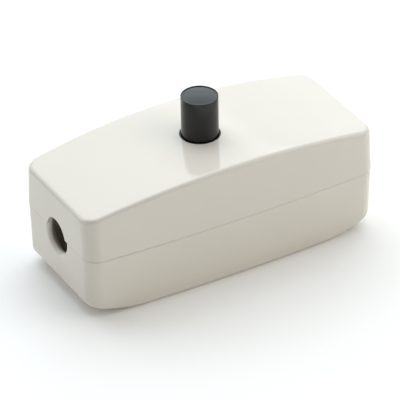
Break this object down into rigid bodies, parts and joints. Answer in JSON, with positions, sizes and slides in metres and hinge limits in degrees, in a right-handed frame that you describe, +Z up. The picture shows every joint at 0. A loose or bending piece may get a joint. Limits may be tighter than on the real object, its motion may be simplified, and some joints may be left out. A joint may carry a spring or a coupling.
{
  "type": "inline cord push switch",
  "caption": "Small two-shell housing with a crowned cover, a round push button on top and a round cord inlet in each end face.",
  "frame": {"origin": "middle of the base, on the surface that the housing rests on", "axes": "+X along the housing from one cord inlet to the other, +Y across its width, +Z up through the push button"},
  "size_m": [0.065, 0.0294, 0.0345],
  "materials": {
    "housing_lower": "moulded ivory thermoplastic, satin gloss",
    "housing_cover": "moulded ivory thermoplastic, polished gloss",
    "button_black": "moulded black plastic, satin",
    "bush_black": "moulded black plastic",
    "natural_acetal": "natural moulded acetal",
    "clamp_plastic": "ivory moulded plastic",
    "base_phenolic": "brown phenolic moulding",
    "contact_brass": "stamped brass strip",
    "terminal_brass": "machined brass",
    "contact_silver": "silver contact metal",
    "spring_steel": "drawn steel",
    "steel_screw": "zinc plated steel"
  },
  "bodies": {
    "housing": {"lower_shell": "housing_lower", "upper_shell": "housing_cover", "housing_screws": "steel_screw", "button_bush": "bush_black", "mechanism_base": "base_phenolic", "guide_sleeve": "base_phenolic", "rotor_pin": "spring_steel", "fixed_contact_left": "contact_brass", "fixed_contact_right": "contact_brass", "fixed_contact_rivets": "contact_silver", "contact_eyelets": "steel_screw", "line_terminal_left": "terminal_brass", "line_terminal_right": "terminal_brass", "neutral_terminal_left": "terminal_brass", "neutral_terminal_right": "terminal_brass", "neutral_link": "contact_brass", "terminal_screws": "steel_screw", "cord_clamp_left": "clamp_plastic", "cord_clamp_right": "clamp_plastic", "clamp_screws": "steel_screw"},
    "button": {"push_button": "button_black", "drive_crown": "natural_acetal", "return_spring": "spring_steel"},
    "rotor": {"ratchet_rotor": "natural_acetal", "contact_bridge": "contact_brass", "bridge_contacts": "contact_silver", "spring_washer": "spring_steel"}
  },
  "joints": [
    {"name": "button_press", "type": "slide", "parent": "housing", "child": "button", "axis": [0, 0, -1], "range_m": [0, 0.0025], "stiffness_N_per_m": 1200, "springref_m": -0.0025, "deforming": ["return_spring"]},
    {"name": "rotor_turn", "type": "hinge", "parent": "housing", "child": "rotor", "pos_m": [0, 0, 0.0111], "axis": [0, 0, -1], "range_deg": [0, 30]}
  ],
  "couplings": [
    {"joint": "rotor_turn", "follows": "button_press", "rad_per_m": 209.44}
  ]
}
